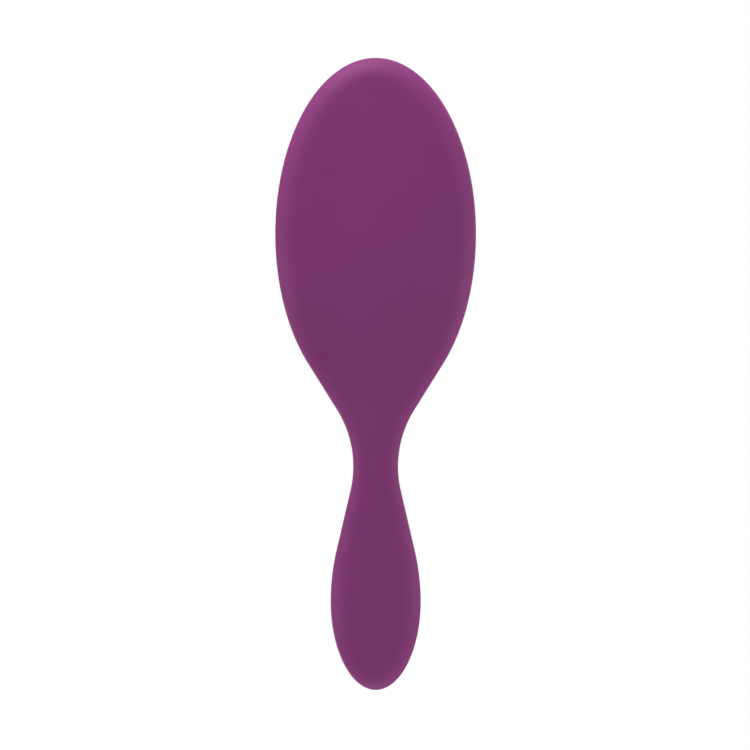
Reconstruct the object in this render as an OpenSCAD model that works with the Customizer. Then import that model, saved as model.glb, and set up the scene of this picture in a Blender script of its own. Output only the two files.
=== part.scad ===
// Mane and tail brush for horse grooming: a hollow, soft-touch paddle with an
// oval head, a waisted neck and a rounded grip. The head carries an air
// cushion of thin rubber, and ball-tipped nylon pins stand through it.
// The brush lies on its back, pins up: +Z is the way the pins point, and the
// head is at the +Y end.

/* [Outline] */
// Overall length, from the head's tip to the end of the grip
brush_len = 222; // [215:1:235]
// Width of the head at its widest
head_w = 70.6; // [64:0.1:76]
// Length of the full oval that the head follows
head_len = 123.5; // [115:0.1:126]
// Width of the neck at its narrowest
neck_w = 15.8; // [14:0.1:19]
// Width of the grip at its widest
grip_w = 31.7; // [28:0.1:34]
// Angle between the head's straight flank and the centre line, in degrees
flank_angle = 32; // [29:0.1:35]
// Angle at which the grip widens from the neck, in degrees
grip_angle = 13.1; // [12:0.1:15]
// Radius of the hollow of the neck, seen from above
neck_r = 37.4; // [32:0.1:40]
// Radius of the grip's belly, seen from above
belly_r = 78; // [65:0.5:85]

/* [Thickness] */
// Thickness of the head, from its back to the land round the cushion
head_t = 14; // [13:0.5:16]
// How far the back of the neck stands off the table
neck_rise = 2.6; // [1:0.1:3]
// Height of the neck's front
neck_t = 15.2; // [14.5:0.1:17]
// Height of the grip's front
grip_t = 19.5; // [18:0.5:22]
// How far the grip thins towards its end, on each side
end_taper = 1.6; // [0:0.1:2.5]
// Width of the rounded border round the head's back
head_border = 7.4; // [6:0.1:8]
// Width of the rounded border at the neck
neck_border = 5.4; // [4:0.1:5.6]
// Width of the rounded border at the grip's belly
grip_border = 10; // [7:0.1:10.5]
// Width of the rounded border at the end of the grip
end_border = 6.2; // [5.5:0.1:6.4]
// Height of the seam where the two shells are welded
seam_z = 7; // [6:0.5:8]
// Thickness of the shells' walls
wall = 2.2; // [1.8:0.1:2.4]

/* [Cushion] */
// Width of the opening that the cushion fills
pad_w = 56; // [50:0.5:57]
// Length of the opening that the cushion fills
pad_len = 109; // [100:0.5:110]
// Thickness of the rubber
pad_t = 1.6; // [1.2:0.1:2]
// Height of the cushion's flat crown above the frame ring
crown_rise = 3.4; // [2.5:0.1:4]
// Width of the cushion's sloping shoulder
shoulder_w = 3.2; // [3:0.1:4]
// Width of the frame ring
frame_w = 2.2; // [1.8:0.1:2.4]
// How far the frame ring stands proud of the head
frame_proud = 0.6; // [0.3:0.1:1]

/* [Pins] */
// Number of files of pins, side by side
files = 8; // [6:1:8]
// Distance between the files
file_pitch = 6.4; // [6:0.1:6.4]
// Distance between the pins of a file
pin_pitch = 5.8; // [5.4:0.1:7]
// Height of the pins above the cushion
pin_h = 22; // [16:0.5:24]
// Diameter of a pin at its foot
pin_d = 1.15; // [1:0.05:1.2]
// Diameter of a pin at its tip
pin_tip_d = 0.9; // [0.8:0.05:1]
// Diameter of the ball on a pin's tip
ball_d = 1.6; // [1.4:0.1:1.8]
// Diameter of the disc that holds a pin under the rubber
foot_d = 2; // [1.8:0.1:2.2]

/* [Hidden] */

shell_colour = "#7c3c6e";
rubber_colour = "#2f2d31";
nylon_colour = "#8a4a7c";
tip_colour = "#43203b";

// play between pieces that are pressed or welded together
gap = 0.05;
// sides of the small round shapes
sides = 24;

// ---- outline: half-widths w at distances s from the head's tip ----

head_a = head_w / 2;
head_b = head_len / 2;
neck_a = neck_w / 2;
grip_a = grip_w / 2;

// where the straight flank leaves the head's oval
flank_turn = 180 - atan2(head_a, head_b * tan(flank_angle));
flank_s = head_b * (1 - cos(flank_turn));
flank_w = head_a * sin(flank_turn);
// the flank ends on the neck's hollow, which is lowest at neck_s
hollow_w = neck_a + neck_r * (1 - cos(flank_angle));
neck_s = flank_s + (flank_w - hollow_w) / tan(flank_angle) + neck_r * sin(flank_angle);
// the grip widens in a straight line from the hollow to the belly's arc
rise_s = neck_s + neck_r * sin(grip_angle);
rise_w = neck_a + neck_r * (1 - cos(grip_angle));
belly_w = grip_a - belly_r * (1 - cos(grip_angle));
belly_s = rise_s + (belly_w - rise_w) / tan(grip_angle) + belly_r * sin(grip_angle);
end_b = brush_len - belly_s;

head_steps = 26;
flank_steps = 6;
arc_steps = 6;
end_steps = 12;

// a point of the outline: [w, s, the outward normal's two parts]
function with_normal(w, s, across, along) =
    [w, s, across / norm([across, along]), along / norm([across, along])];
function head_point(t) =
    with_normal(head_a * sin(t), head_b * (1 - cos(t)), head_b * sin(t), -head_a * cos(t));
function flank_point(t) =
    [flank_w + (hollow_w - flank_w) * t, flank_s + (flank_w - hollow_w) / tan(flank_angle) * t,
     cos(flank_angle), sin(flank_angle)];
function hollow_point(t) =
    [neck_a + neck_r * (1 - cos(t)), neck_s + neck_r * sin(t), cos(t), -sin(t)];
function belly_point(t) =
    [grip_a - belly_r * (1 - cos(t)), belly_s - belly_r * sin(t), cos(t), -sin(t)];
function end_point(t) =
    with_normal(grip_a * cos(t), belly_s + end_b * sin(t), end_b * cos(t), grip_a * sin(t));

flank = concat(
    [for (i = [0:head_steps]) head_point(flank_turn * i / head_steps)],
    [for (i = [1:flank_steps]) flank_point(i / flank_steps)],
    [for (i = [1:2 * arc_steps])
        hollow_point(-flank_angle + (flank_angle + grip_angle) * i / (2 * arc_steps))],
    [for (i = [0:arc_steps]) belly_point(grip_angle * (1 - i / arc_steps))],
    [for (i = [1:end_steps]) end_point(90 * i / end_steps)]);
last = len(flank) - 1;
// right side from the tip to the end, then the left side back to the tip
outline = concat(flank, [for (i = [last - 1:-1:1]) [-flank[i][0], flank[i][1], -flank[i][2], flank[i][3]]]);
turns = len(outline);

// ---- heights and borders along the length ----

function ease(t) = t <= 0 ? 0 : t >= 1 ? 1 : (1 - cos(180 * t)) / 2;
function between(s, from, to) = ease((s - from) / (to - from));

// the front starts to rise behind the opening, and the back a little before it
neck_from = head_b + pad_len / 2;
lift_from = 0.78 * head_len;
function back_z(s) = neck_rise * (between(s, lift_from, neck_s) - between(s, neck_s, belly_s))
    + end_taper * between(s, belly_s, brush_len);
function front_z(s) = head_t + (neck_t - head_t) * between(s, neck_from, neck_s)
    + (grip_t - neck_t) * between(s, neck_s, belly_s) - end_taper * between(s, belly_s, brush_len);
// the front's border leaves a flat land between itself and the opening
land_w = 0.4;
front_border = min(head_border, (head_w - pad_w) / 2 - frame_w - gap - land_w);
function border(side, s) =
    let (head = side < 0 ? head_border : front_border)
    head + (neck_border - head) * between(s, head_b, neck_from)
    + (grip_border - neck_border) * between(s, neck_s, belly_s)
    - (grip_border - end_border) * between(s, belly_s, brush_len);

// ---- a half shell: rings of points from the seam to the flat, inside and out ----

levels = 6;
// the border is never narrower than this on the inside
least_border = 0.5;

// side: -1 for the back half, 1 for the front half; depth: 0 outside, wall inside
function ring_point(i, turn, side, depth) =
    let (p = outline[i],
         inset = depth + max(border(side, p[1]) - 2 * depth, least_border) * (1 - cos(turn)),
         s = p[1] - inset * p[3],
         flat_z = side < 0 ? back_z(s) + depth : front_z(s) - depth)
    [p[0] - inset * p[2], head_y(s), seam_z + (flat_z - seam_z) * sin(turn)];
function head_y(s) = brush_len / 2 - s;
function rings(side, depth) =
    [for (j = [0:levels]) for (i = [0:turns - 1]) ring_point(i, 90 * j / levels, side, depth)];

// the wall between rings j and j + 1
function skin_faces(first) =
    [for (j = [0:levels - 1]) for (i = [0:turns - 1])
        let (a = first + j * turns + i, b = first + j * turns + (i + 1) % turns)
        each [[a, b, b + turns], [a, b + turns, a + turns]]];
// the flat inside the last ring, from station from to the end of the grip
function flat_faces(top, from) =
    [for (i = [from:last - 1])
        let (a = top + i, b = top + i + 1, c = top + turns - i - 1, d = top + (turns - i) % turns)
        each i == 0 ? [[a, b, c]] : i == last - 1 ? [[a, b, d]] : [[a, b, c], [a, c, d]]];
function seam_faces(inner) =
    [for (i = [0:turns - 1]) let (k = (i + 1) % turns)
        each [[i, inner + i, inner + k], [i, inner + k, k]]];
function turned(faces) = [for (f = faces) [f[2], f[1], f[0]]];

// the front's opening: one point for each station of the head and flank, both sides
cut = head_steps + flank_steps;
function hole_turn(m) =
    m <= head_steps ? flank_turn * m / head_steps
    : flank_turn + (180 - flank_turn) * (m - head_steps) / flank_steps;
function hole_points(z) =
    [for (m = [0:2 * cut - 1])
        let (t = m <= cut ? hole_turn(m) : -hole_turn(2 * cut - m))
        [(pad_w / 2 + frame_w + gap) * sin(t), pad_y + (pad_len / 2 + frame_w + gap) * cos(t), z]];
// the land between the last ring and the opening
function land_faces(top, hole) = concat(
    [for (m = [0:2 * cut - 1])
        let (a = top + (m < cut ? m : turns - 2 * cut + m),
             b = top + (m < cut ? m + 1 : (turns - 2 * cut + m + 1) % turns),
             ha = hole + m, hb = hole + (m + 1) % (2 * cut))
        each [[a, b, hb], [a, hb, ha]]],
    [[top + cut, top + turns - cut, hole + cut]], flat_faces(top, cut));
function hole_faces(outer, inner) =
    [for (m = [0:2 * cut - 1]) let (k = (m + 1) % (2 * cut))
        each [[outer + m, outer + k, inner + k], [outer + m, inner + k, inner + m]]];

inner_ring = turns * (levels + 1);
outer_hole = 2 * inner_ring;
inner_hole = outer_hole + 2 * cut;

// ---- ovals round the cushion's opening ----

pad_y = head_y(head_b);
oval_steps = 96;

function oval_points(grow, z) =
    [for (i = [0:oval_steps - 1]) let (t = 360 * i / oval_steps)
        [(pad_w / 2 + grow) * cos(t), pad_y + (pad_len / 2 + grow) * sin(t), z]];
module oval(grow) { polygon([for (p = oval_points(grow, 0)) [p[0], p[1]]]); }
module oval_tube(outer, inner, z0, z1) {
    translate([0, 0, z0]) linear_extrude(z1 - z0) difference() { oval(outer); oval(inner); }
}

// ---- heights inside the head ----

bead_w = 2;
bead_t = 1.8;
shelf_t = 1.6;
shelf_w = 0.8;
frame_top = head_t + frame_proud;
seat_depth = 3.8;
shelf_z = head_t - seat_depth;
bead_z = shelf_z + gap;
frame_z = bead_z + bead_t + gap;
crown_z = frame_top + crown_rise;
collar_w = 1;

// ---- sub-parts ----

// the back half of the body, which lies on the table
module back_shell() {
    faces = concat(
        skin_faces(0), flat_faces(levels * turns, 0),
        turned(skin_faces(inner_ring)), turned(flat_faces(inner_ring + levels * turns, 0)),
        seam_faces(inner_ring));
    color(shell_colour) polyhedron(concat(rings(-1, 0), rings(-1, wall)), faces, convexity = 6);
}

// the front half of the body, with the opening for the cushion
module front_shell() {
    faces = concat(
        skin_faces(0), land_faces(levels * turns, outer_hole),
        turned(skin_faces(inner_ring)), turned(land_faces(inner_ring + levels * turns, inner_hole)),
        seam_faces(inner_ring), hole_faces(outer_hole, inner_hole));
    points = concat(rings(1, 0), rings(1, wall), hole_points(head_t), hole_points(head_t - wall));
    color(shell_colour) polyhedron(points, turned(faces), convexity = 6);
}

// the oval channel welded under the opening, whose shelf holds the cushion's bead
module cushion_seat() {
    color(shell_colour) {
        oval_tube(frame_w + collar_w, -shelf_w, shelf_z - shelf_t, shelf_z);
        oval_tube(frame_w + collar_w, frame_w + gap, shelf_z, head_t - wall);
    }
}

// the oval ring that is pressed in over the cushion's bead, with its top edges eased
module frame_ring() {
    lip = 0.5;
    color(shell_colour) {
        oval_tube(frame_w, 0, frame_z, frame_top - lip);
        oval_tube(frame_w - lip, lip / 2, frame_top - lip, frame_top);
    }
}

// ---- the cushion ----

// clearance between the cushion and the ring round it
gap_round = 0.3;
// the pins stand a little free in their holes
hole_play = 0.16;
hole_d = pin_d + hole_play;
vent_d = 1.6;
vent_offset = pin_pitch / 4;

// the rubber air cushion: flat crown with a hole for each pin, shoulder and bead
module cushion_pad() {
    color(rubber_colour) {
        translate([0, 0, crown_z - pad_t]) linear_extrude(pad_t) difference() {
            oval(-shoulder_w);
            for (k = [1:files]) for (y = pin_rows(k)) translate([file_x(k), y]) circle(d = hole_d, $fn = sides);
            translate([0, pad_y - vent_offset]) circle(d = vent_d, $fn = sides);
        }
        shoulder();
        oval_tube(bead_w, -gap_round - pad_t, bead_z, bead_z + bead_t);
    }
}

// the cushion's sloping side, from the crown's edge down to the bead
module shoulder() {
    steps = 4;
    foot_z = bead_z + bead_t / 2;
    rise_from = frame_top - pad_t;
    function grow(t) = -gap_round - (shoulder_w - gap_round) * (1 - cos(t));
    function height(t, top) = rise_from + (top - rise_from) * sin(t);
    outer = concat([[-gap_round, foot_z]],
        [for (j = [0:steps]) [grow(90 * j / steps), height(90 * j / steps, crown_z)]]);
    inner = [for (j = [steps:-1:0])
        [grow(90 * j / steps) - pad_t * cos(90 * j / steps), height(90 * j / steps, crown_z - pad_t)]];
    section = concat(outer, inner, [[-gap_round - pad_t, foot_z]]);
    n = len(section);
    polyhedron(points = [for (q = section) each oval_points(q[0], q[1])],
        faces = [for (j = [0:n - 1]) for (i = [0:oval_steps - 1])
            let (a = j * oval_steps, b = (j + 1) % n * oval_steps, k = (i + 1) % oval_steps)
            each [[a + i, b + i, b + k], [a + i, b + k, a + k]]], convexity = 4);
}

// ---- pins ----

// the outermost pins stand this far inside the opening
pin_edge = 4.6;
foot_t = 0.8;
foot_gap = 0.4;
foot_z = crown_z - pad_t - foot_gap - foot_t;
ball_z = crown_z + pin_h - ball_d / 2;
shank_top = ball_z + ball_d / 8;

function file_x(k) = (k - (files + 1) / 2) * file_pitch;
// the pins of a file, every second file half a pitch along
function pin_rows(k) =
    let (reach = (pad_len / 2 - pin_edge) * sqrt(1 - pow(file_x(k) / (pad_w / 2 - pin_edge), 2)),
         shift = k % 2 == 0 ? 0.5 : 0, most = ceil(reach / pin_pitch))
    [for (m = [-most:most]) if (abs((m + shift) * pin_pitch) <= reach) pad_y + (m + shift) * pin_pitch];

// one file of nylon pins, each a tapered shank on a foot that stops it pulling out
module pins(k) {
    color(nylon_colour) for (y = pin_rows(k)) translate([file_x(k), y, foot_z]) {
        cylinder(d = foot_d, h = foot_t, $fn = sides);
        cylinder(d1 = pin_d, d2 = pin_tip_d, h = shank_top - foot_z, $fn = sides);
    }
}

// the resin balls on that file's tips
module tips(k) {
    color(tip_colour) for (y = pin_rows(k)) translate([file_x(k), y, ball_z]) difference() {
        sphere(d = ball_d, $fn = sides);
        translate([0, 0, -ball_d]) cylinder(d = pin_tip_d, h = ball_d + shank_top - ball_z, $fn = sides);
    }
}

back_shell();
front_shell();
cushion_seat();
frame_ring();
cushion_pad();
for (k = [1:files]) pins(k);
for (k = [1:files]) tips(k);
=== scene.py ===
import math

import bmesh
import bpy
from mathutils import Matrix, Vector


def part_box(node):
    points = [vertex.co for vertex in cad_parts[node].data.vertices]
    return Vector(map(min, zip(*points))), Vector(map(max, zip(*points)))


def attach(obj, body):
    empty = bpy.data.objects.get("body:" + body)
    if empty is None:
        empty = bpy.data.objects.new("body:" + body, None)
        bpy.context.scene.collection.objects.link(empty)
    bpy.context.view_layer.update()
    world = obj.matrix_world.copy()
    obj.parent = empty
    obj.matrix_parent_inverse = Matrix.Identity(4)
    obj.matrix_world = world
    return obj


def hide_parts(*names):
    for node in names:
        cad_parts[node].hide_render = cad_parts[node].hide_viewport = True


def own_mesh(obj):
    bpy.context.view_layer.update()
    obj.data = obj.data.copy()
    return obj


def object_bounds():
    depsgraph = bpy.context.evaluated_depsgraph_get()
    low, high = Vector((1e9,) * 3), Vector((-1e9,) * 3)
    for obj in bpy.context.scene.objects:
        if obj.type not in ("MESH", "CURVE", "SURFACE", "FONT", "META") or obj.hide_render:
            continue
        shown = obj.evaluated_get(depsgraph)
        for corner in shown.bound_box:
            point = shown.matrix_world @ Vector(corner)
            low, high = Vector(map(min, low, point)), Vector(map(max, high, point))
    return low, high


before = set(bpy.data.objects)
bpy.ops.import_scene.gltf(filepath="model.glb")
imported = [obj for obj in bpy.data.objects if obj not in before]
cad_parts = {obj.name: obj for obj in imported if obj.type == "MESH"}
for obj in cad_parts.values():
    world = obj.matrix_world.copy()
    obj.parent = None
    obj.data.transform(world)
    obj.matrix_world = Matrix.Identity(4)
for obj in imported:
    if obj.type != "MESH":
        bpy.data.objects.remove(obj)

cad_low, cad_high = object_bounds()


# ---- camera ----
# The brush lies on its back with its pins up, and is looked at from straight
# below, head upwards, through a long lens that keeps the outline flat. The
# middle of the view lies a fraction of a millimetre off the brush's own.

MM = 0.001
view_width = 263.6 * MM
lens = 120.0
sensor = 36.0
seam_height = 7.0 * MM
centre_drop = 0.4 * MM
centre_shift = 0.23 * MM

camera = bpy.data.objects.new("camera", bpy.data.cameras.new("camera"))
camera.data.lens = lens
camera.data.sensor_width = sensor
camera.location = (centre_shift, -centre_drop, seam_height - view_width * lens / sensor)
camera.rotation_euler = (0, math.pi, 0)
bpy.context.scene.collection.objects.link(camera)
bpy.context.scene.camera = camera


# ---- the hollow body: two half shells and the seat ----
# Two moulded ABS halves, welded along a seam that shows as a fine groove, under a
# sprayed polyurethane soft-touch coat. The coat is matte and velvety, so it pales
# to pink at the rims, and shows a faint sprayed grain.


def hex_colour(text):
    """An sRGB hex colour as linear RGBA."""
    parts = [int(text[i:i + 2], 16) / 255 for i in (1, 3, 5)]
    return [p / 12.92 if p < 0.04045 else ((p + 0.055) / 1.055) ** 2.4 for p in parts] + [1.0]


def add(tree, kind, inputs=None, **settings):
    """A new node with its settings, and each input set to a value or linked to a socket."""
    made = tree.nodes.new(kind)
    for name, value in settings.items():
        setattr(made, name, value)
    for key, value in (inputs or {}).items():
        if isinstance(value, bpy.types.NodeSocket):
            tree.links.new(value, made.inputs[key])
        else:
            made.inputs[key].default_value = value
    return made


def finish_of(name):
    """A new material with an empty node tree."""
    made = bpy.data.materials.new(name)
    made.use_nodes = True
    made.node_tree.nodes.clear()
    return made


soft_touch = finish_of("soft_touch_coat")
tree = soft_touch.node_tree
# the colour drifts over a few centimetres; the droplets of a real spray are near
# 0.1 mm, too fine to show, so they are drawn coarser
mottle_size = 38 * MM
spray_size = 1.1 * MM
grain_size = 0.45 * MM
place = add(tree, "ShaderNodeTexCoord").outputs["Object"]
mottle = add(tree, "ShaderNodeTexNoise", {"Vector": place, "Scale": 1 / mottle_size, "Detail": 3.0})
spray = add(tree, "ShaderNodeTexNoise", {"Vector": place, "Scale": 1 / spray_size, "Detail": 2.0})
grain = add(tree, "ShaderNodeTexNoise", {"Vector": place, "Scale": 1 / grain_size, "Detail": 2.0})
plum = add(tree, "ShaderNodeValToRGB", {"Fac": mottle.outputs["Fac"]})
plum.color_ramp.elements[0].position = 0.3
plum.color_ramp.elements[0].color = hex_colour("#722d64")
plum.color_ramp.elements[1].position = 0.7
plum.color_ramp.elements[1].color = hex_colour("#763068")
dull = add(tree, "ShaderNodeMapRange", {"Value": spray.outputs["Fac"], "To Min": 0.58, "To Max": 0.7})
relief = add(tree, "ShaderNodeMath", {0: spray.outputs["Fac"], 1: grain.outputs["Fac"]}, operation="ADD")
bump = add(tree, "ShaderNodeBump", {"Height": relief.outputs[0], "Strength": 0.3, "Distance": 0.03 * MM})
coat = add(tree, "ShaderNodeBsdfPrincipled", {
    "Base Color": plum.outputs["Color"], "Roughness": dull.outputs["Result"], "IOR": 1.5,
    "Specular IOR Level": 0.16, "Sheen Weight": 0.28, "Sheen Roughness": 0.35,
    "Sheen Tint": hex_colour("#cc1a9c"), "Normal": bump.outputs["Normal"]})
add(tree, "ShaderNodeOutputMaterial", {"Surface": coat.outputs["BSDF"]})

# both halves follow one outline: an oval head, straight flanks, a hollow neck and a
# round-ended grip. Sizes are in millimetres; a name ends in a or b for half a width
# or half a length, and in s for a distance from the head's tip
brush_length = (cad_high.y - cad_low.y) / MM
head_a = (cad_high.x - cad_low.x) / MM / 2
head_b = 123.5 / 2
neck_a = 15.8 / 2
grip_a = 31.7 / 2
flank_angle = math.radians(32.0)
grip_angle = math.radians(13.1)
neck_radius = 37.4
belly_radius = 78.0

# where each stretch of the outline begins, with its half-width w there
flank_turn = math.pi - math.atan2(head_a, head_b * math.tan(flank_angle))
flank_s = head_b * (1 - math.cos(flank_turn))
flank_w = head_a * math.sin(flank_turn)
hollow_w = neck_a + neck_radius * (1 - math.cos(flank_angle))
hollow_s = flank_s + (flank_w - hollow_w) / math.tan(flank_angle)
neck_s = hollow_s + neck_radius * math.sin(flank_angle)
rise_s = neck_s + neck_radius * math.sin(grip_angle)
rise_w = neck_a + neck_radius * (1 - math.cos(grip_angle))
belly_w = grip_a - belly_radius * (1 - math.cos(grip_angle))
swell_s = rise_s + (belly_w - rise_w) / math.tan(grip_angle)
belly_s = swell_s + belly_radius * math.sin(grip_angle)
end_b = brush_length - belly_s


def station(w, s, across, along):
    """A point of the outline, w and s, with the two parts of its outward normal."""
    size = math.hypot(across, along)
    return w, s, across / size, along / size


def steps(first, last, count):
    """count values after first, the last one included."""
    return [first + (last - first) * i / count for i in range(1, count + 1)]


head_count, flank_count, hollow_count, rise_count, belly_count, end_count = 96, 14, 34, 20, 16, 44
outline = [station(0, 0, 0, -1)]
for t in steps(0, flank_turn, head_count):
    outline.append(station(head_a * math.sin(t), head_b * (1 - math.cos(t)),
                           head_b * math.sin(t), -head_a * math.cos(t)))
for t in steps(0, 1, flank_count):
    outline.append(station(flank_w + (hollow_w - flank_w) * t, flank_s + (hollow_s - flank_s) * t,
                           math.cos(flank_angle), math.sin(flank_angle)))
for t in steps(-flank_angle, grip_angle, hollow_count):
    outline.append(station(neck_a + neck_radius * (1 - math.cos(t)), neck_s + neck_radius * math.sin(t),
                           math.cos(t), -math.sin(t)))
for t in steps(0, 1, rise_count):
    outline.append(station(rise_w + (belly_w - rise_w) * t, rise_s + (swell_s - rise_s) * t,
                           math.cos(grip_angle), -math.sin(grip_angle)))
for t in steps(grip_angle, 0, belly_count):
    outline.append(station(grip_a - belly_radius * (1 - math.cos(t)), belly_s - belly_radius * math.sin(t),
                           math.cos(t), -math.sin(t)))
for t in steps(0, math.pi / 2, end_count):
    outline.append(station(grip_a * math.cos(t), belly_s + end_b * math.sin(t),
                           end_b * math.cos(t), grip_a * math.sin(t)))

# the cushion's oval and the ring round it; the neck begins where the oval ends
pad_a = 28.0
pad_b = 54.5
pad_s = head_b
frame_width = 2.2
frame_gap = 0.05
neck_from = pad_s + pad_b


def between(s, first, last):
    """0 before first, 1 after last, and an even swell from one to the other."""
    t = min(max((s - first) / (last - first), 0), 1)
    return (1 - math.cos(math.pi * t)) / 2


# widths of the rounded border at the head, neck, belly and end; side -1 is the back, 1 the front
borders = {-1: (8.2, 6.4, 12.5, 7.4), 1: (4.1, 5.2, 11.0, 7.1)}


def border(side, s):
    """Width of the rounded border; on the head's front it leaves a flat land round the opening."""
    head, neck, belly, end = borders[side]
    turns = (head_b, neck_from) if side < 0 else (flank_s, neck_s)
    return (head + (neck - head) * between(s, *turns) + (belly - neck) * between(s, neck_s, belly_s)
            + (end - belly) * between(s, belly_s, brush_length))


least_border = 0.5
head_fullness = {-1: 2.0, 1: 2.3}
grip_fullness = 0.35


def border_at(side, s, depth):
    """The border's width outside, or on the inner face of a wall of this depth."""
    return border(side, s) if depth == 0 else max(border(side, s) - 2 * depth, least_border)


def fullness(side, s):
    """Exponent of the border's curve: 2 is an ellipse, and more is squarer with a softer join."""
    return head_fullness[side] + grip_fullness * between(s, neck_from, neck_s)


head_thickness = 14.0
neck_lift = 2.6
lift_from = 0.78 * 2 * head_b
neck_rise = 1.2
grip_rise = 4.3
end_taper = 1.6


def back_height(s):
    """Height of the back's middle over the table; only the neck and the end are off it."""
    return (neck_lift * (between(s, lift_from, neck_s) - between(s, neck_s, belly_s))
            + end_taper * between(s, belly_s, brush_length))


def front_height(s):
    """Height of the front's middle over the table."""
    return (head_thickness + neck_rise * between(s, neck_from, neck_s)
            + grip_rise * between(s, neck_s, belly_s) - end_taper * between(s, belly_s, brush_length))


head_curve = 0.0005
grip_curve = 0.012
curve_from = 0.7 * neck_from


def back_crown(s):
    """Curvature of the back across the brush: its fall is this times the square of w."""
    return head_curve + grip_curve * between(s, curve_from, neck_s)


def front_crown(s):
    """The same for the front, whose head is flat round the cushion."""
    return grip_curve * between(s, neck_from, neck_s)


wall = 2.2
seam = seam_height / MM
groove = 0.18
turn_count = 14
across_count = 10


def skin_row(side, depth, point, middle):
    """Points in mm from the seam, over the border and across to the middle (w, s)."""
    w, s, across, along = point
    width = border_at(side, s, depth)

    def flat(at, out):
        if side < 0:
            return back_height(at) + back_crown(at) * out ** 2 + depth
        return front_height(at) - front_crown(at) * out ** 2 - depth

    edge_s = s - (depth + width) * along
    edge_w = w - (depth + width) * across
    edge_z = flat(edge_s, edge_w)
    power = fullness(side, s)
    row = [(w - (depth + groove) * across, s - (depth + groove) * along, seam)]
    for i in range(turn_count + 1):
        t = math.pi / 2 * i / turn_count
        inset = depth + width * (1 - math.cos(t) ** (2 / power))
        z = seam + side * groove + (edge_z - seam - side * groove) * math.sin(t) ** (2 / power)
        row.append((w - inset * across, s - inset * along, z))
    for t in steps(0, 1, across_count):
        at = edge_s + (middle[1] - edge_s) * t
        out = edge_w + (middle[0] - edge_w) * t
        row.append((out, at, flat(at, out)))
    return row


def strip_faces(rows):
    """The four-cornered faces between neighbouring rows."""
    return [(a, b, c, d) for low, high in zip(rows, rows[1:])
            for a, b, c, d in zip(low, low[1:], high[1:], high)]


crease = math.radians(40)


def solid(name, faces, material, body, node):
    """A piece from faces given by their corners in mm, as (w, s, z) from the head's tip."""
    work = bmesh.new()
    known = {}
    for face in faces:
        corners = []
        for w, s, z in face:
            key = (round(w, 4), round(s, 4), round(z, 4))
            if key not in known:
                known[key] = work.verts.new((w * MM, cad_high.y - s * MM, z * MM))
            if known[key] not in corners:
                corners.append(known[key])
        if len(corners) > 2:
            work.faces.new(corners)
    bmesh.ops.recalc_face_normals(work, faces=work.faces)
    mesh = bpy.data.meshes.new(name)
    work.to_mesh(mesh)
    work.free()
    mesh.shade_smooth()
    mesh.set_sharp_from_angle(angle=crease)
    made = bpy.data.objects.new(name, mesh)
    bpy.context.scene.collection.objects.link(made)
    mesh.materials.append(material)
    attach(made, body)
    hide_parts(node)
    return made


def both_sides(faces):
    """Faces of the right side, and the same for the left."""
    return faces + [tuple((-w, s, z) for w, s, z in face) for face in faces]


def straight_middle(side, point, depth):
    """The middle of the shell beside a border's inner edge."""
    s, along = point[1], point[3]
    return 0, s - (depth + border_at(side, s, depth)) * along


# the back: outside, inside, and the weld face between them
outer = [skin_row(-1, 0, p, straight_middle(-1, p, 0)) for p in outline]
inner = [skin_row(-1, wall, p, straight_middle(-1, p, wall)) for p in outline]
weld = [[a[0], b[0]] for a, b in zip(outer, inner)]
solid("back_shell_moulding", both_sides(strip_faces(outer) + strip_faces(inner) + strip_faces(weld)),
      soft_touch, "body", "back_shell")

# the front: its head's rows end at the opening, and the neck's rows ease back to the middle
opening_a = pad_a + frame_width + frame_gap
opening_b = pad_b + frame_width + frame_gap
cut = head_count + flank_count
lip = 0.5
lip_turns = 5


def hole_point(i, grow):
    """The opening's rim opposite station i, from the tip round to the neck."""
    if i <= head_count:
        t = flank_turn * i / head_count
    else:
        t = flank_turn + (math.pi - flank_turn) * (i - head_count) / flank_count
    return (opening_a + grow) * math.sin(t), pad_s - (opening_b + grow) * math.cos(t)


def front_middle(i, depth, grow):
    """Where row i of the front ends."""
    if i <= cut:
        return hole_point(i, grow)
    pull = hole_point(cut, grow)[1] - straight_middle(1, outline[cut], depth)[1]
    return 0, straight_middle(1, outline[i], depth)[1] + pull * (1 - between(i, cut, cut + hollow_count))


outer = [skin_row(1, 0, p, front_middle(i, 0, lip)) for i, p in enumerate(outline)]
inner = [skin_row(1, wall, p, front_middle(i, wall, 0)) for i, p in enumerate(outline)]
weld = [[a[0], b[0]] for a, b in zip(outer, inner)]
rim = []
for i in range(cut + 1):
    turned = [(*hole_point(i, lip * (1 - math.sin(t))), head_thickness - lip * (1 - math.cos(t)))
              for t in steps(0, math.pi / 2, lip_turns)]
    rim.append([outer[i][-1]] + turned + [inner[i][-1]])
solid("front_shell_moulding",
      both_sides(strip_faces(outer) + strip_faces(inner) + strip_faces(weld) + strip_faces(rim)),
      soft_touch, "body", "front_shell")

# the seat is the plain channel welded in under the opening, coated with the shells
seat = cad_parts["cushion_seat"]
seat.data.materials.clear()
seat.data.materials.append(soft_touch)


# ---- frame ring ----
# A moulded oval ring of the shells' ABS, pressed in over the cushion's bead. Its
# top is rounded and left uncoated, so it shines more than the shells beside it.

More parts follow.
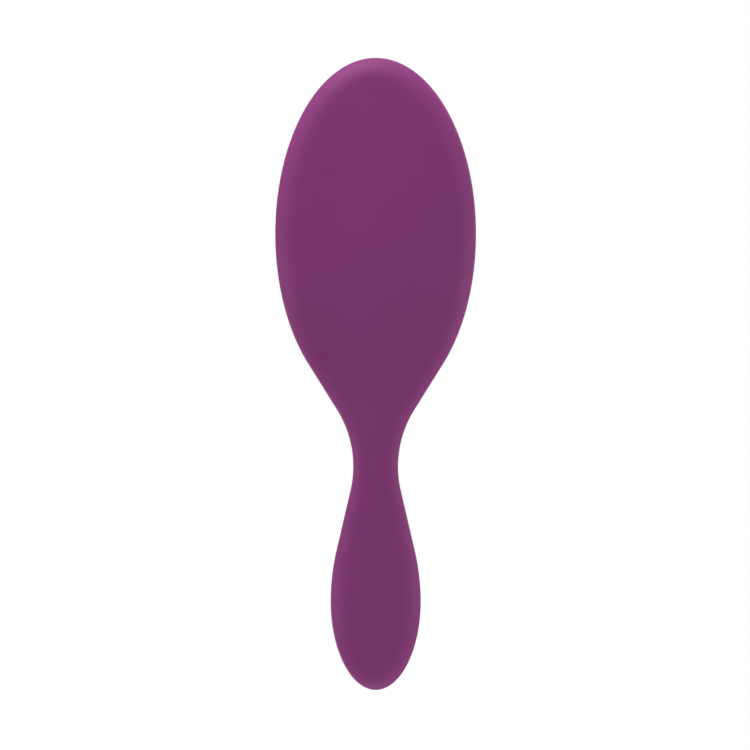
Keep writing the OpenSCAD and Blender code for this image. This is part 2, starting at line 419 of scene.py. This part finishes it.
satin_plum = finish_of("moulded_plum_abs")
tree = satin_plum.node_tree
flow_size = 2.5 * MM
place = add(tree, "ShaderNodeTexCoord").outputs["Object"]
flow = add(tree, "ShaderNodeTexNoise", {"Vector": place, "Scale": 1 / flow_size, "Detail": 3.0})
gloss = add(tree, "ShaderNodeMapRange", {"Value": flow.outputs["Fac"], "To Min": 0.26, "To Max": 0.36})
ripple = add(tree, "ShaderNodeBump", {"Height": flow.outputs["Fac"], "Strength": 0.15, "Distance": 0.02 * MM})
depth_tone = add(tree, "ShaderNodeValToRGB", {"Fac": flow.outputs["Fac"]})
depth_tone.color_ramp.elements[0].color = hex_colour("#5e2a50")
depth_tone.color_ramp.elements[1].color = hex_colour("#653056")
ring_coat = add(tree, "ShaderNodeBsdfPrincipled", {
    "Base Color": depth_tone.outputs["Color"], "Roughness": gloss.outputs["Result"], "IOR": 1.53,
    "Normal": ripple.outputs["Normal"]})
add(tree, "ShaderNodeOutputMaterial", {"Surface": ring_coat.outputs["BSDF"]})

oval_count = 200


def oval_rows(section):
    """The rows that a section of (half-width, half-length, height) makes round the opening."""
    rows = []
    for i in range(oval_count + 1):
        t = 2 * math.pi * (i % oval_count) / oval_count
        rows.append([(a * math.cos(t), pad_s - b * math.sin(t), z) for a, b, z in section])
    return rows


def round_opening(growth, height):
    """One point of a section, by how far it lies outside the opening."""
    return pad_a + growth, pad_b + growth, height


ring_low, ring_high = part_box("frame_ring")
ring_top = ring_high.z / MM
ring_bottom = ring_low.z / MM
ring_round = 0.9
ring_turns = steps(0, math.pi / 2, 6)
section = [round_opening(0, ring_bottom), round_opening(frame_width, ring_bottom)]
section += [round_opening(frame_width - ring_round * (1 - math.cos(t)),
                          ring_top - ring_round * (1 - math.sin(t))) for t in [0.0] + ring_turns]
section += [round_opening(ring_round * (1 - math.sin(t)), ring_top - ring_round * (1 - math.cos(t)))
            for t in ring_turns]
section.append(section[0])
solid("frame_ring_moulding", strip_faces(oval_rows(section)), satin_plum, "body", "frame_ring")


# ---- air cushion ----
# Thin vulcanised rubber, crowned by the air behind it. A low boss grips each pin,
# a rib follows the crown's edge, and one vent hole lets the air in and out. Its
# bloom makes the gloss uneven, and its pores are drawn coarse enough to show.

rubber = finish_of("vulcanised_rubber")
tree = rubber.node_tree
bloom_size = 9 * MM
pore_size = 0.5 * MM
place = add(tree, "ShaderNodeTexCoord").outputs["Object"]
bloom = add(tree, "ShaderNodeTexNoise", {"Vector": place, "Scale": 1 / bloom_size, "Detail": 4.0})
pores = add(tree, "ShaderNodeTexNoise", {"Vector": place, "Scale": 1 / pore_size, "Detail": 2.0})
tone = add(tree, "ShaderNodeValToRGB", {"Fac": bloom.outputs["Fac"]})
tone.color_ramp.elements[0].position = 0.3
tone.color_ramp.elements[0].color = hex_colour("#29242b")
tone.color_ramp.elements[1].position = 0.75
tone.color_ramp.elements[1].color = hex_colour("#342e37")
skin_gloss = add(tree, "ShaderNodeMapRange", {"Value": bloom.outputs["Fac"], "To Min": 0.42, "To Max": 0.58})
pitted = add(tree, "ShaderNodeBump", {"Height": pores.outputs["Fac"], "Strength": 0.3, "Distance": 0.03 * MM})
rubber_skin = add(tree, "ShaderNodeBsdfPrincipled", {
    "Base Color": tone.outputs["Color"], "Roughness": skin_gloss.outputs["Result"], "IOR": 1.52,
    "Sheen Weight": 0.1, "Sheen Roughness": 0.5, "Normal": pitted.outputs["Normal"]})
add(tree, "ShaderNodeOutputMaterial", {"Surface": rubber_skin.outputs["BSDF"]})

pad_low, pad_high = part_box("cushion_pad")
crown_top = pad_high.z / MM
bead_bottom = pad_low.z / MM
pad_thickness = 1.6
bead_thickness = 1.8
bead_width = 2.0
pad_clearance = 0.3
shoulder = 3.2
crown_swell = 0.7
rib_height = 0.35
rib_from = 0.93
rib_share = 0.07
crown_steps = 16
rib_steps = 8
rim_steps = 10


def crown(share, drop):
    """A point of the crown, drop below its top, by its share of the way to the edge."""
    return (share * (pad_a - shoulder), share * (pad_b - shoulder),
            crown_top - drop + crown_swell * (0.5 - share ** 2))


def on_rib(i):
    """Point i of the rib, which ends where the shoulder begins."""
    a, b, z = crown(rib_from + rib_share * i / rib_steps, 0)
    return a, b, z + rib_height * math.sin(math.pi * i / rib_steps)


def side_of_cushion(t, drop):
    """The shoulder at turn t, from upright inside the ring to level at the crown's edge."""
    top = crown(1, drop)[2]
    out = -pad_clearance - (shoulder - pad_clearance) * (1 - math.cos(t))
    return round_opening(out - drop * math.cos(t), shoulder_from + (top - shoulder_from) * math.sin(t))


shoulder_from = ring_top - pad_thickness
rim_turns = [math.pi / 2 - t for t in steps(0, math.pi / 2, rim_steps)]
section = [crown(share, 0) for share in [0.0] + steps(0, rib_from, crown_steps)]
section += [on_rib(i) for i in range(1, rib_steps + 1)]
section += [side_of_cushion(t, 0) for t in rim_turns]
section += [round_opening(-pad_clearance, bead_bottom + bead_thickness),
            round_opening(bead_width, bead_bottom + bead_thickness),
            round_opening(bead_width, bead_bottom),
            round_opening(-pad_clearance - pad_thickness, bead_bottom)]
section += [side_of_cushion(t, pad_thickness) for t in reversed(rim_turns)]
section += [crown(share, pad_thickness) for share in reversed([0.0] + steps(0, 1, rim_steps))]
cushion = solid("air_cushion", strip_faces(oval_rows(section)), rubber, "body", "cushion_pad")

# where the pins stand: one file of points for each CAD file, read from its box
file_count = sum(name.startswith("pins_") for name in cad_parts)
pin_pitch = 5.8 * MM
files = {}
for k in range(1, file_count + 1):
    low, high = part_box(f"pins_{k}")
    foot = (high.x - low.x) / 2
    count = round((high.y - low.y - 2 * foot) / pin_pitch) + 1
    files[k] = [Vector(((low.x + high.x) / 2, low.y + foot + i * pin_pitch, low.z)) for i in range(count)]


def crown_height(point):
    """Height of the cushion's top, in metres, over a point."""
    along = point.y - cad_high.y + pad_s * MM
    share = math.hypot(point.x / (pad_a - shoulder), along / (pad_b - shoulder)) / MM
    return crown(share, 0)[2] * MM


def points_object(name, points):
    """A mesh of loose points for a node tree to work on."""
    mesh = bpy.data.meshes.new(name)
    mesh.from_pydata([tuple(p) for p in points], [], [])
    made = bpy.data.objects.new(name, mesh)
    bpy.context.scene.collection.objects.link(made)
    return made


def repeating_tree(name, sizes):
    """An empty node tree with one named number for each size, and the points that come in."""
    made = bpy.data.node_groups.new(name, "GeometryNodeTree")
    made.interface.new_socket("Geometry", in_out="INPUT", socket_type="NodeSocketGeometry")
    for label, value in sizes.items():
        socket = made.interface.new_socket(label, in_out="INPUT", socket_type="NodeSocketFloat")
        socket.default_value = value
    made.interface.new_socket("Geometry", in_out="OUTPUT", socket_type="NodeSocketGeometry")
    return made, add(made, "NodeGroupInput").outputs


def set_out(tree, parts, points, material):
    """Ends a tree: the joined parts on every point, made real, smooth and given their material."""
    whole = add(tree, "GeometryNodeJoinGeometry")
    for part in parts:
        tree.links.new(part, whole.inputs[0])
    each = add(tree, "GeometryNodeInstanceOnPoints", {"Points": points, "Instance": whole.outputs[0]})
    real = add(tree, "GeometryNodeRealizeInstances", {"Geometry": each.outputs[0]})
    finished = add(tree, "GeometryNodeSetMaterial", {"Geometry": real.outputs[0], "Material": material})
    add(tree, "NodeGroupOutput", {0: finished.outputs[0]})


def turned_bar(tree, sides, low_radius, high_radius, height, low):
    """A straight or tapered round bar, standing at height low."""
    made = add(tree, "GeometryNodeMeshCone", {
        "Vertices": sides, "Radius Bottom": low_radius, "Radius Top": high_radius, "Depth": height})
    lift = add(tree, "ShaderNodeCombineXYZ", {"Z": low})
    moved = add(tree, "GeometryNodeTransform", {
        "Geometry": made.outputs["Mesh"], "Translation": lift.outputs[0]})
    smooth = add(tree, "GeometryNodeSetShadeSmooth", {"Geometry": moved.outputs[0]})
    return smooth.outputs[0]


def plain_mesh(made):
    """The mesh that an object's modifiers make; the modifiers are then removed."""
    mesh = bpy.data.meshes.new_from_object(made.evaluated_get(bpy.context.evaluated_depsgraph_get()))
    made.modifiers.clear()
    return mesh


def grown(made, tree):
    """Runs a tree on an object and keeps the plain mesh it makes."""
    made.modifiers.new(tree.name, "NODES").node_group = tree
    made.data = plain_mesh(made)
    made.data.set_sharp_from_angle(angle=crease)
    return made


boss_tree, size = repeating_tree("cushion_bosses", {
    "Boss Radius": 1.45 * MM, "Boss Top Radius": 0.95 * MM, "Boss Height": 0.9 * MM, "Sunk": -0.45 * MM})
boss = turned_bar(boss_tree, 16, size["Boss Radius"], size["Boss Top Radius"], size["Boss Height"],
                  size["Sunk"])
set_out(boss_tree, [boss], size["Geometry"], rubber)
boss_places = [(p.x, p.y, crown_height(p)) for row in files.values() for p in row]
bosses = grown(points_object("cushion_bosses", boss_places), boss_tree)

# the vent goes right through the rubber, between two files near the middle
vent_radius = 0.8 * MM
vent_depth = 8 * MM
vent_place = (0, cad_high.y - pad_s * MM - pin_pitch / 4, (crown_top - pad_thickness / 2) * MM)
vent = bpy.data.objects.new("vent", bpy.data.meshes.new("vent"))
work = bmesh.new()
bmesh.ops.create_cone(work, cap_ends=True, segments=24, radius1=vent_radius, radius2=vent_radius,
                      depth=vent_depth)
bmesh.ops.translate(work, verts=work.verts, vec=vent_place)
work.to_mesh(vent.data)
work.free()
bpy.context.scene.collection.objects.link(vent)
piercing = cushion.modifiers.new("vent", "BOOLEAN")
piercing.object = vent
piercing.operation = "DIFFERENCE"
pierced = plain_mesh(cushion)
bpy.data.objects.remove(vent)

# the bosses are moulded in one with the skin, and slivers left by the piercing are merged
sliver = 0.001 * MM
work = bmesh.new()
work.from_mesh(pierced)
work.from_mesh(bosses.data)
bmesh.ops.dissolve_degenerate(work, dist=sliver, edges=work.edges)
work.to_mesh(pierced)
work.free()
cushion.data = pierced
bpy.data.objects.remove(bosses)
pierced.materials.clear()
pierced.materials.append(rubber)
pierced.set_sharp_from_angle(angle=crease)
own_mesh(cushion)


# ---- pins ----
# Moulded nylon shanks, tapered so that they bend towards the tip. Each has a foot
# under the rubber and a small root flare where it leaves its boss. Thin nylon is
# satin and lets a little light through, so the shanks look softer than the body.

nylon = finish_of("moulded_nylon")
tree = nylon.node_tree
melt_size = 4 * MM
place = add(tree, "ShaderNodeTexCoord").outputs["Object"]
melt = add(tree, "ShaderNodeTexNoise", {"Vector": place, "Scale": 1 / melt_size, "Detail": 2.0})
nylon_tone = add(tree, "ShaderNodeValToRGB", {"Fac": melt.outputs["Fac"]})
nylon_tone.color_ramp.elements[0].color = hex_colour("#84467a")
nylon_tone.color_ramp.elements[1].color = hex_colour("#915388")
nylon_gloss = add(tree, "ShaderNodeMapRange", {"Value": melt.outputs["Fac"], "To Min": 0.28, "To Max": 0.4})
nylon_body = add(tree, "ShaderNodeBsdfPrincipled", {
    "Base Color": nylon_tone.outputs["Color"], "Roughness": nylon_gloss.outputs["Result"], "IOR": 1.53,
    "Subsurface Weight": 0.25, "Subsurface Scale": 0.6 * MM})
add(tree, "ShaderNodeOutputMaterial", {"Surface": nylon_body.outputs["BSDF"]})

pin_low, pin_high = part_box("pins_4")
pin_tree, size = repeating_tree("file_of_pins", {
    "Foot Radius": 1.0 * MM, "Foot Height": 0.8 * MM, "Root Radius": 0.575 * MM, "Tip Radius": 0.45 * MM,
    "Length": pin_high.z - pin_low.z, "Flare Radius": 0.9 * MM, "Flare Height": 1.0 * MM,
    "Flare Stands": crown_top * MM + 0.2 * MM - pin_low.z})
pin_foot = turned_bar(pin_tree, 12, size["Foot Radius"], size["Foot Radius"], size["Foot Height"], 0.0)
shank = turned_bar(pin_tree, 10, size["Root Radius"], size["Tip Radius"], size["Length"], 0.0)
flare = turned_bar(pin_tree, 10, size["Flare Radius"], size["Root Radius"], size["Flare Height"],
                   size["Flare Stands"])
set_out(pin_tree, [pin_foot, shank, flare], size["Geometry"], nylon)
for k, row in files.items():
    shanks = grown(points_object(f"nylon_pins_{k}", row), pin_tree)
    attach(shanks, f"file_{k}")
    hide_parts(f"pins_{k}")


# ---- ball tips ----
# Each shank's end is dipped in resin, which dries as a smooth glossy drop that
# runs a little way down the shank.

resin = finish_of("dipped_resin")
tree = resin.node_tree
pool_size = 3 * MM
place = add(tree, "ShaderNodeTexCoord").outputs["Object"]
pooling = add(tree, "ShaderNodeTexNoise", {"Vector": place, "Scale": 1 / pool_size, "Detail": 2.0})
resin_tone = add(tree, "ShaderNodeValToRGB", {"Fac": pooling.outputs["Fac"]})
resin_tone.color_ramp.elements[0].color = hex_colour("#43203b")
resin_tone.color_ramp.elements[1].color = hex_colour("#512a48")
resin_gloss = add(tree, "ShaderNodeMapRange", {"Value": pooling.outputs["Fac"], "To Min": 0.1, "To Max": 0.2})
resin_body = add(tree, "ShaderNodeBsdfPrincipled", {
    "Base Color": resin_tone.outputs["Color"], "Roughness": resin_gloss.outputs["Result"], "IOR": 1.5})
add(tree, "ShaderNodeOutputMaterial", {"Surface": resin_body.outputs["BSDF"]})

ball_low, ball_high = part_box("tips_4")
ball_radius = (ball_high.x - ball_low.x) / 2
tip_tree, size = repeating_tree("file_of_tips", {
    "Ball Radius": ball_radius, "Drop Length": 0.9 * MM, "Drop Radius": ball_radius * 0.78,
    "Drop Stands": -1.35 * MM, "Shank Radius": 0.46 * MM})
ball = add(tip_tree, "GeometryNodeMeshUVSphere", {"Segments": 12, "Rings": 8, "Radius": size["Ball Radius"]})
ball_smooth = add(tip_tree, "GeometryNodeSetShadeSmooth", {"Geometry": ball.outputs["Mesh"]})
run_down = turned_bar(tip_tree, 12, size["Shank Radius"], size["Drop Radius"], size["Drop Length"],
                      size["Drop Stands"])
set_out(tip_tree, [ball_smooth.outputs[0], run_down], size["Geometry"], resin)
for k, row in files.items():
    centres = [(p.x, p.y, ball_high.z - ball_radius) for p in row]
    balls = grown(points_object(f"ball_tips_{k}", centres), tip_tree)
    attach(balls, f"file_{k}")
    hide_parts(f"tips_{k}")


# ---- floor and light ----
# A plain pale sheet, clear from below, in white surroundings. It neither shades nor
# lights the brush, and glows a little, so that its far part stays pale. Four soft
# boxes graze the brush's back from under the sheet, and two light its front.

paper_colour = hex_colour("#e9e7e5")
sheet = finish_of("pale_paper")
tree = sheet.node_tree
paper = add(tree, "ShaderNodeBsdfDiffuse", {"Color": paper_colour})
glow = add(tree, "ShaderNodeEmission", {"Color": paper_colour, "Strength": 0.13})
lit = add(tree, "ShaderNodeAddShader", {0: paper.outputs[0], 1: glow.outputs[0]})
clear = add(tree, "ShaderNodeBsdfTransparent")
below = add(tree, "ShaderNodeNewGeometry").outputs["Backfacing"]
one_sided = add(tree, "ShaderNodeMixShader", {0: below, 1: lit.outputs[0], 2: clear.outputs[0]})
add(tree, "ShaderNodeOutputMaterial", {"Surface": one_sided.outputs[0]})
floor = bpy.data.objects.new("floor", bpy.data.meshes.new("floor"))
half = 15.0
corners = [(-half, -half, 0), (half, -half, 0), (half, half, 0), (-half, half, 0)]
floor.data.from_pydata(corners, [], [(0, 1, 2, 3)])
floor.data.materials.append(sheet)
floor.visible_shadow = False
floor.visible_diffuse = False
floor.visible_glossy = False
bpy.context.scene.collection.objects.link(floor)


brush_middle = Vector((0, 0.02, 0.01))


def soft_box(name, place, size, power):
    """A square soft box that faces the brush."""
    lamp = bpy.data.lights.new(name, "AREA")
    lamp.size = size
    lamp.energy = power
    made = bpy.data.objects.new(name, lamp)
    made.location = place
    made.rotation_euler = (brush_middle - Vector(place)).to_track_quat("-Z", "Y").to_euler()
    bpy.context.scene.collection.objects.link(made)


# each box's place and width are in metres, and its power is in watts
soft_box("back_key", (0.1, 0.6, -0.16), 0.3, 4.8)
soft_box("back_left", (0.9, -0.06, -0.15), 0.28, 4.0)
soft_box("back_right", (-0.9, -0.04, -0.14), 0.26, 5.2)
soft_box("back_foot", (0, -0.7, -0.17), 0.3, 3.4)
soft_box("front_key", (0.4, -0.4, 0.95), 0.7, 5)
soft_box("front_fill", (-0.5, 0.25, 0.9), 0.7, 3)

# the white that lights the brush is dimmer than the white behind it
surroundings = bpy.data.worlds.new("white_surroundings")
surroundings.use_nodes = True
tree = surroundings.node_tree
tree.nodes.clear()
ambient = add(tree, "ShaderNodeBackground", {"Color": (1, 1, 1, 1), "Strength": 0.36})
backdrop = add(tree, "ShaderNodeBackground", {"Color": (1, 1, 1, 1), "Strength": 1.0})
seen = add(tree, "ShaderNodeLightPath").outputs["Is Camera Ray"]
mixed = add(tree, "ShaderNodeMixShader", {0: seen, 1: ambient.outputs[0], 2: backdrop.outputs[0]})
add(tree, "ShaderNodeOutputWorld", {"Surface": mixed.outputs[0]})
bpy.context.scene.world = surroundings
bpy.context.scene.view_settings.view_transform = "Standard"
